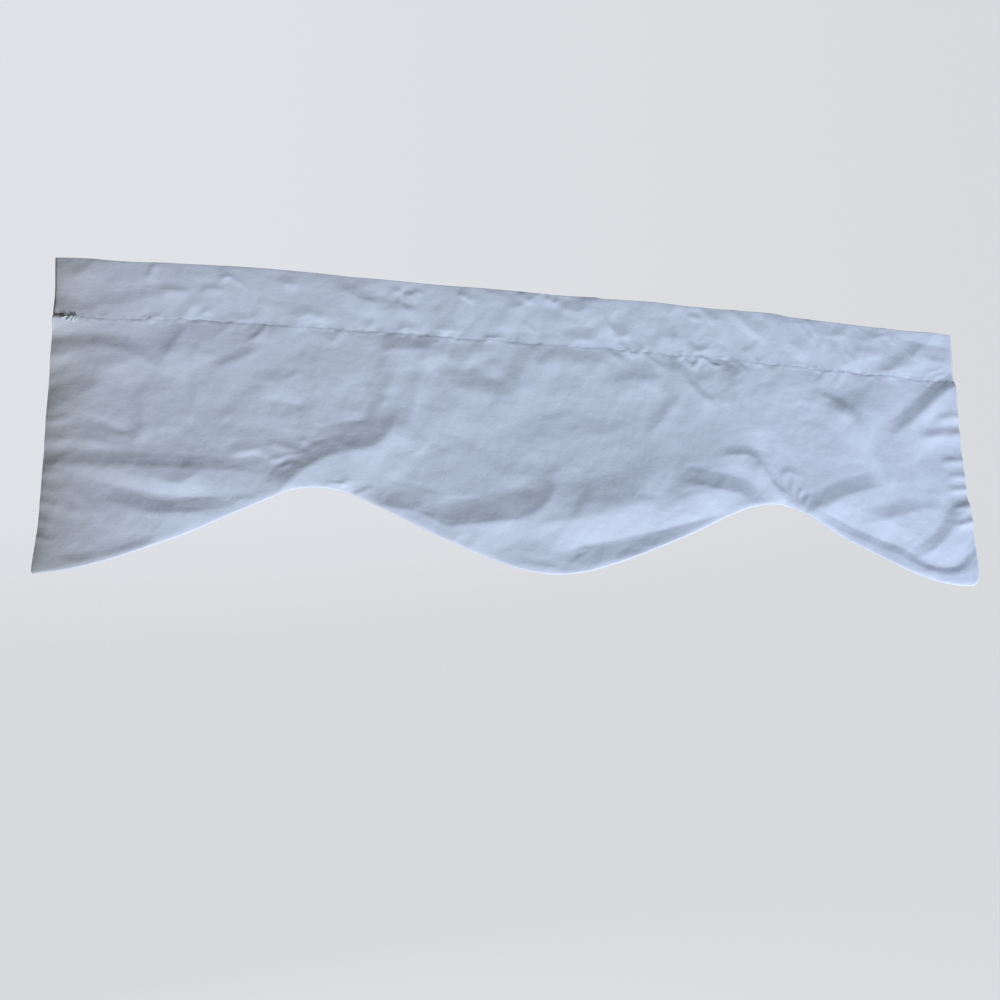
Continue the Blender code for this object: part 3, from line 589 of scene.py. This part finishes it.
def lay_cloth(grid, along, down, places):
    """Moves the grid's points to their places, and keeps where each lies on the flat cloth."""
    for point, place in zip(grid.verts, places):
        point.co = place
    flat = grid.loops.layers.uv.new("cloth")
    grid.verts.index_update()
    for face in grid.faces:
        for corner in face.loops:
            corner[flat].uv = (along[corner.vert.index], down[corner.vert.index])


def piece_from(name, grid, material):
    """A finished piece at the origin from a bmesh."""
    mesh = bpy.data.meshes.new(name)
    grid.to_mesh(mesh)
    grid.free()
    mesh.materials.append(material)
    mesh.shade_smooth()
    piece = bpy.data.objects.new(name, mesh)
    bpy.context.scene.collection.objects.link(piece)
    return piece


def give_thickness(piece, thickness):
    wall = piece.modifiers.new("cloth_thickness", "SOLIDIFY")
    wall.thickness = thickness
    wall.offset = 0
    wall.use_even_offset = False
    wall.use_rim = True


def linear(hex_colour, alpha=1.0):
    """An sRGB colour such as "ffffff" as linear values."""
    channels = [int(hex_colour[i:i + 2], 16) / 255 for i in (0, 2, 4)]
    return [c / 12.92 if c <= 0.04045 else ((c + 0.055) / 1.055) ** 2.4 for c in channels] + [alpha]


def add_node(tree, kind, settings=(), **links):
    """Adds a node. settings are (property or input, value) pairs, and links name input and source."""
    node = tree.nodes.new(kind)
    for name, value in settings:
        if isinstance(name, str) and hasattr(node, name):
            setattr(node, name, value)
        else:
            node.inputs[name].default_value = value
    for name, source in links.items():
        key = int(name[1:]) if name[1:].isdigit() else name.replace("_", " ")
        tree.links.new(source, node.inputs[key])
    return node


def cotton(name, white, shade, painted_shade_left_tint):
    """Bleached plain-weave cotton percale, washed and not ironed: dull, faintly lustrous and crumpled. Its
    left end is tinted darker and warmer as painted shade.
    """
    thread = 1.0 * MM  # about 3 times as wide as in real percale, whose threads are too fine to show
    material = bpy.data.materials.new(name)
    material.use_nodes = True
    tree = material.node_tree
    surface = tree.nodes["Principled BSDF"]
    surface.inputs["Roughness"].default_value = 0.72
    surface.inputs["IOR"].default_value = 1.50
    surface.inputs["Specular IOR Level"].default_value = 0.35
    surface.inputs["Sheen Weight"].default_value = 0.12
    surface.inputs["Sheen Roughness"].default_value = 0.5

    cloth = add_node(tree, "ShaderNodeUVMap", [("uv_map", "cloth")]).outputs["UV"]
    place = add_node(tree, "ShaderNodeSeparateXYZ", _0=cloth)

    # Plain weave: each thread rises over one and dips under the next
    turns = 2 * math.pi / (2 * thread)
    warp = add_node(tree, "ShaderNodeMath", [("operation", "MULTIPLY"), (1, turns)], _0=place.outputs["X"])
    weft = add_node(tree, "ShaderNodeMath", [("operation", "MULTIPLY"), (1, turns)], _0=place.outputs["Y"])
    warp_wave = add_node(tree, "ShaderNodeMath", [("operation", "SINE")], _0=warp.outputs[0])
    weft_wave = add_node(tree, "ShaderNodeMath", [("operation", "SINE")], _0=weft.outputs[0])
    weave = add_node(tree, "ShaderNodeMath", [("operation", "MULTIPLY")],
                     _0=warp_wave.outputs[0], _1=weft_wave.outputs[0])

    # Slubs: here and there a thicker thread, 20 to 60 mm long
    warp_slub_place = add_node(tree, "ShaderNodeMapping", [("Scale", (900, 22, 1))], Vector=cloth)
    weft_slub_place = add_node(tree, "ShaderNodeMapping", [("Scale", (22, 900, 1))], Vector=cloth)
    slubs = [add_node(tree, "ShaderNodeTexNoise", [("Scale", 1.0), ("Detail", 1.0), ("Roughness", 0.4)],
                      Vector=spot.outputs["Vector"]) for spot in (warp_slub_place, weft_slub_place)]
    slub = add_node(tree, "ShaderNodeMath", [("operation", "ADD")],
                    _0=slubs[0].outputs["Fac"], _1=slubs[1].outputs["Fac"])

    # Crumples 4 to 12 mm across that are left between the modelled ones
    body = add_node(tree, "ShaderNodeTexCoord").outputs["Object"]
    crumple = add_node(tree, "ShaderNodeTexNoise",
                       [("Scale", 85.0), ("Detail", 3.0), ("Roughness", 0.55), ("Distortion", 0.35)],
                       Vector=body)

    weave_bump = add_node(tree, "ShaderNodeBump", [("Strength", 0.35), ("Distance", 0.12 * MM)],
                          Height=weave.outputs[0])
    slub_bump = add_node(tree, "ShaderNodeBump", [("Strength", 0.30), ("Distance", 0.25 * MM)],
                         Height=slub.outputs[0], Normal=weave_bump.outputs[0])
    crumple_bump = add_node(tree, "ShaderNodeBump", [("Strength", 0.45), ("Distance", 1.2 * MM)],
                            Height=crumple.outputs["Fac"], Normal=slub_bump.outputs[0])
    tree.links.new(crumple_bump.outputs[0], surface.inputs["Normal"])

    # The bleached white is a little greyer between threads and in worn, handled places
    worn = add_node(tree, "ShaderNodeTexNoise", [("Scale", 7.0), ("Detail", 4.0), ("Roughness", 0.6)],
                    Vector=body)
    fine = add_node(tree, "ShaderNodeMath", [("operation", "MULTIPLY_ADD"), (1, 0.10), (2, 0.0)],
                    _0=slub.outputs[0])
    tone = add_node(tree, "ShaderNodeMath", [("operation", "MULTIPLY_ADD"), (1, 0.55)],
                    _0=worn.outputs["Fac"], _2=fine.outputs[0])
    colour = add_node(tree, "ShaderNodeMix",
                      [("data_type", "RGBA"), (6, linear(white)), (7, linear(shade))], _0=tone.outputs[0])
    # Painted shade: the outer 170 mm of the left end are tinted a little darker and warmer, standing in for
    # the dimmer light there
    side = add_node(tree, "ShaderNodeSeparateXYZ", _0=body).outputs["X"]
    painted_shade_mask = add_node(tree, "ShaderNodeMapRange",
                     [("interpolation_type", "SMOOTHSTEP"), ("From Min", -WIDTH / 2 + 0.17),
                      ("From Max", -WIDTH / 2 - 0.02), ("To Max", 1.0)], Value=side)
    painted_shade_mix = add_node(tree, "ShaderNodeMix",
                       [("data_type", "RGBA"), ("blend_type", "MULTIPLY"), (7, linear(painted_shade_left_tint))],
                       _0=painted_shade_mask.outputs[0], _6=colour.outputs[2])
    tree.links.new(painted_shade_mix.outputs[2], surface.inputs["Base Color"])
    return material


# The third colour is a painted shade tint for the left end
percale = cotton("white_cotton_percale", "f0f4f6", "dee4e9", "f1ede5")

grid, column, row = unit_grid(PANEL_COLUMNS, SEAM_ROWS + HEM_ROWS)
along = corner_columns()[column]
seam = seam_line(along) + PANEL_SAG * ease((UNSTITCHED - along) / UNDONE_FADE)
hem = smooth(SECTIONS, "along", "hem", along) - corner_rise(along)
from_top = SEAM_ROWS + HEM_ROWS - row
close_rows = seam - TUCKED_IN + SEAM_ROW * np.minimum(from_top, SEAM_ROWS)
share = np.maximum(from_top - SEAM_ROWS, 0) / HEM_ROWS
share += CLOSER_AT_HEM * np.sin(math.pi * share) / math.pi
down = close_rows + (hem - close_rows) * share
x, z = place_on_cloth(along, down)
lay_cloth(grid, along, down, zip(x, -panel_face(along, down, seam, hem), z))
panel = piece_from("panel_cloth", grid, percale)
give_thickness(panel, PANEL_THICKNESS)
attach(panel, "root")
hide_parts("panel")

# --------------------------------------------------------------------------------------------------
# The rod pocket: the same cotton turned over the top to the back and stitched down, so its ends are open.
# Its face lies nearly flat with the panel's, and its back layer hangs away as if a rod had been in it.
POCKET_WALL = 0.0009  # one layer
POCKET_FRONT = 0.0010  # the face swells this far
POCKET_LEAN = 0.0030  # its top leans this far towards the room
POCKET_LAP = (PANEL_THICKNESS - POCKET_WALL) / 2  # sets its face flush with the panel's at the seam
BACK_SEAT = 0.00145  # its back layer is stitched down behind the panel
MOUTH_CURL = 0.0028  # the two mouths turn back
MOUTH_CURL_REACH = 0.009
RIGHT_MOUTH = 0.5  # the right mouth turns back this share as far
LEFT_TURN = 0.0032  # the left end turns back a little too
LEFT_TURN_REACH = 0.045
BACK_HELD = 0.020  # the seam still holds it this far up
TOP_REACH = 0.015  # the back layer hangs straight from this far under the top fold
POCKET_BACK = 0.009  # the back layer hangs this far behind
TOP_TURN = 0.0120  # how soon the face turns in at the top
SEAM_TURN = 0.0300  # and at the seam
POCKET_COLUMNS = 460
FRONT_ROWS = 44
BACK_ROWS = 28
POCKET_GAP = 0.0004  # between the pocket's lower edge and the panel's edge
FRONT_LIFT = 0.0030  # the front layer stands up where the seam has come undone
POCKET_CRUMPLES = 100

grid, column, row = unit_grid(POCKET_COLUMNS, FRONT_ROWS + BACK_ROWS)
along = WIDTH * column / POCKET_COLUMNS
in_front = row <= FRONT_ROWS
turn = np.where(in_front, math.pi * row / FRONT_ROWS,
                math.pi * (1 + (row - FRONT_ROWS) / BACK_ROWS))
top = smooth(SECTIONS, "along", "top", along)
seam = seam_line(along) - POCKET_GAP
undone = ease((UNSTITCHED - along) / UNDONE_FADE)
edge = np.where(in_front, seam - FRONT_LIFT * undone, seam)
down = (edge + top) / 2 + (edge - top) / 2 * np.cos(turn)
x, z = place_on_cloth(along, down)
face = np.where(in_front, down, top)  # the back layer starts from the same top fold
bulge = (1 - np.exp(-(edge - face) / SEAM_TURN)) * (1 - np.exp(-(face - top) / TOP_TURN))
lean = POCKET_LEAN * (edge - face) / (edge - top)
front = POCKET_LAP + POCKET_FRONT * bulge + lean + face_relief(along, face)
front -= LEFT_TURN * np.exp(-along / LEFT_TURN_REACH) * ease((edge - face) / CURL_START)
front -= MOUTH_CURL * np.exp(-along / MOUTH_CURL_REACH)
front -= MOUTH_CURL * RIGHT_MOUTH * np.exp((along - WIDTH) / MOUTH_CURL_REACH)
crumple = np.zeros(along.shape)
for crease in crumples(POCKET_CRUMPLES, CRUMPLE_SEED + 2, -15, 95):
    add_crease(crumple, along, down, crease)
add_facets(crumple, along, down, CRUMPLE_SEED + 2)
back = np.maximum(np.abs(np.sin(turn)) * (POCKET_BACK + crumple), BACK_SEAT)
back -= face_relief(along, seam) * np.exp(-(seam - down) / BACK_HELD)
back -= front * np.exp(-(down - top) / TOP_REACH)
y = np.where(in_front, -front, back)
around = np.where(in_front, seam - down, (seam - top) + (down - top))
lay_cloth(grid, along, around, zip(x, y, z))
bmesh.ops.recalc_face_normals(grid, faces=grid.faces)
pocket = piece_from("rod_pocket_cloth", grid, percale)
give_thickness(pocket, POCKET_WALL)
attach(pocket, "root")
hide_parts("rod_pocket")

# --------------------------------------------------------------------------------------------------
# The stitching under the pocket: one row of lockstitch in white polyester thread through both layers, which
# pulls the cloth into small puckers. It shows as a row of short dashes on the face and on the back.
STITCH_PITCH = 0.0034
STITCH_LENGTH = 0.0026
THREAD = 0.00032  # half the width of a stitch
STITCH_FRONT = -0.0009  # Y of the stitches on the face, before the relief of the cloth
STITCH_BACK = 0.0020  # and of those on the back

bead = bmesh.new()
bmesh.ops.create_uvsphere(bead, u_segments=6, v_segments=4, radius=1)
bmesh.ops.scale(bead, verts=bead.verts, vec=(THREAD, THREAD, STITCH_LENGTH / 2))
bead_mesh = bpy.data.meshes.new("stitch")


def add_stitch(row_of_stitches, centre, slope):
    """Adds a copy of the bead, laid along the seam with its middle at centre."""
    one = bead.copy()
    turned = Matrix.Rotation(math.pi / 2 + slope, 3, "Y")
    bmesh.ops.rotate(one, verts=one.verts, cent=(0, 0, 0), matrix=turned)
    bmesh.ops.translate(one, verts=one.verts, vec=centre)
    one.to_mesh(bead_mesh)
    one.free()
    row_of_stitches.from_mesh(bead_mesh)


grid = bmesh.new()
along = np.arange(UNSTITCHED + 0.004, WIDTH - 0.004, STITCH_PITCH)
down = seam_line(along) - POCKET_GAP / 2
slopes = np.arctan2(seam_line(along + STITCH_PITCH) - seam_line(along), STITCH_PITCH)
x, z = place_on_cloth(along, down)
for centre_x, held_back, centre_z, slope in zip(x, -face_relief(along, down), z, slopes):
    for y in (STITCH_FRONT, STITCH_BACK):
        add_stitch(grid, (centre_x, y + held_back, centre_z), slope)
bead.free()
bpy.data.meshes.remove(bead_mesh)
bmesh.ops.recalc_face_normals(grid, faces=grid.faces)
stitches = piece_from("seam_stitches", grid, percale)
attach(stitches, "root")

# --------------------------------------------------------------------------------------------------
# The frayed end of the seam at the left: where the stitching has come undone, a small tuft of torn cotton
# and polyester threads hangs from the last stitch. Each wisp is a few limp threads that taper to a point.
WISP = 0.0010  # half the width of a few torn threads that cling together
WISP_BULGE = 0.0022  # how far it stands out from the cloth
# Each wisp's two ends and how far it bows to the right, in millimetres
Wisp = namedtuple("Wisp", "along down end_along end_down bow")
WISPS = (
    Wisp(29.0, 86.5, 23.5, 93.0, -1.6), Wisp(29.5, 86.0, 26.0, 96.0, 1.2),
    Wisp(30.0, 86.5, 29.0, 97.5, -1.4), Wisp(30.5, 86.0, 32.5, 95.0, 1.5),
    Wisp(28.0, 87.5, 33.5, 91.0, 1.0), Wisp(31.0, 87.0, 24.0, 90.0, 1.8),
    Wisp(22.0, 89.0, 15.0, 93.0, -1.3), Wisp(24.5, 89.0, 19.0, 95.0, 1.4),
    Wisp(18.0, 90.0, 10.0, 91.5, 1.1), Wisp(29.0, 88.5, 31.0, 94.5, -2.0),
    Wisp(27.5, 88.0, 27.5, 94.0, 1.7), Wisp(30.0, 89.0, 25.5, 92.5, -1.2),
)

grid = bmesh.new()
thread_mesh = bpy.data.meshes.new("thread")
for wisp in WISPS:
    start = np.array([wisp.along, wisp.down]) * MM
    run = np.array([wisp.end_along, wisp.end_down]) * MM - start
    across = np.array([run[1], -run[0]]) / np.hypot(*run)
    one = bmesh.new()
    bmesh.ops.create_uvsphere(one, u_segments=5, v_segments=10, radius=1)
    ball = np.array([point.co for point in one.verts])
    walked = (1 - ball[:, 2]) / 2
    arch = 4 * walked * (1 - walked)
    aside = arch * wisp.bow * MM + ball[:, 0] * WISP
    along = start[0] + run[0] * walked + across[0] * aside
    down = start[1] + run[1] * walked + across[1] * aside
    face = panel_face(along, down, seam_line(along), smooth(SECTIONS, "along", "hem", along))
    out = face + PANEL_THICKNESS / 2 + WISP + WISP_BULGE * arch + ball[:, 1] * WISP
    x, z = place_on_cloth(along, down)
    for point, place in zip(one.verts, zip(x, -out, z)):
        point.co = place
    one.to_mesh(thread_mesh)
    one.free()
    grid.from_mesh(thread_mesh)
bpy.data.meshes.remove(thread_mesh)
bmesh.ops.recalc_face_normals(grid, faces=grid.faces)
frayed = piece_from("frayed_threads", grid, percale)
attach(frayed, "root")

# --------------------------------------------------------------------------------------------------
# The stage: a pale floor that curves up into a pale wall all round, evenly lit and far off.
FLOOR = -1.95
FLAT_RADIUS = 6.0
COVE = 3.0
WALL_TOP = 30.0

profile = [(FLAT_RADIUS + COVE * math.sin(a), FLOOR + COVE * (1 - math.cos(a)))
           for a in np.linspace(0, math.pi / 2, 13)]
grid = bmesh.new()
points = [grid.verts.new((r, 0, z)) for r, z in [(0, FLOOR), *profile, (FLAT_RADIUS + COVE, WALL_TOP)]]
edges = [grid.edges.new(pair) for pair in zip(points, points[1:])]
bmesh.ops.spin(grid, geom=points + edges, cent=(0, 0, 0), axis=(0, 0, 1), angle=2 * math.pi, steps=72,
               use_merge=True)
bmesh.ops.remove_doubles(grid, verts=grid.verts, dist=1e-5)
bmesh.ops.recalc_face_normals(grid, faces=grid.faces)
bmesh.ops.reverse_faces(grid, faces=grid.faces)
paint = bpy.data.materials.new("matt_white_paint")
paint.use_nodes = True
wall_paint = paint.node_tree.nodes["Principled BSDF"]
wall_paint.inputs["Base Color"].default_value = linear("6c6d70")
wall_paint.inputs["Roughness"].default_value = 1.0
wall_paint.inputs["Specular IOR Level"].default_value = 0.0
wall_paint.inputs["Emission Color"].default_value = linear("eceef1")
wall_paint.inputs["Emission Strength"].default_value = 0.80
backdrop = piece_from("backdrop", grid, paint)
backdrop.visible_diffuse = False
backdrop.visible_glossy = False
backdrop.visible_shadow = False

# Light: a large cool window light, low on the right, that rakes over the folds, and a dim even room light
world = bpy.data.worlds.new("room")
world.use_nodes = True
world.node_tree.nodes["Background"].inputs["Color"].default_value = linear("e6e4e2")
world.node_tree.nodes["Background"].inputs["Strength"].default_value = 0.12
bpy.context.scene.world = world


def soft_light(name, place, target, size, power, colour):
    lamp = bpy.data.lights.new(name, "AREA")
    lamp.shape = "DISK"
    lamp.size = size
    lamp.energy = power
    lamp.color = linear(colour)[:3]
    holder = bpy.data.objects.new(name, lamp)
    holder.location = place
    holder.rotation_euler = (Vector(target) - Vector(place)).to_track_quat("-Z", "Y").to_euler()
    holder.visible_camera = False
    bpy.context.scene.collection.objects.link(holder)


sun = bpy.data.lights.new("window_far", "SUN")
sun.energy = 3.35
sun.angle = math.radians(18)
sun.color = linear("dfe7fb")[:3]
holder = bpy.data.objects.new("window_far", sun)
holder.rotation_euler = Vector((-0.30, 0.40, 0.866)).to_track_quat("-Z", "Y").to_euler()
bpy.context.scene.collection.objects.link(holder)
soft_light("window_near", (1.6, -1.6, -1.5), (0.6, 0.0, -0.25), 0.9, 22, "b9d2ff")
soft_light("room_behind", (-0.8, 2.4, 0.6), (0.0, 0.0, -0.2), 2.0, 60, "f4f2ee")

# Camera: below and to the left of the middle, looking slightly up and to the right
eye = bpy.data.cameras.new("camera")
eye.sensor_width = 36
eye.lens = 32.65
camera = bpy.data.objects.new("camera", eye)
camera.location = (-0.4308, -1.3498, -0.5977)
camera.rotation_euler = [math.radians(angle) for angle in (100.27, 0.58, -13.69)]
bpy.context.scene.collection.objects.link(camera)
bpy.context.scene.camera = camera
bpy.context.scene.view_settings.view_transform = "Standard"
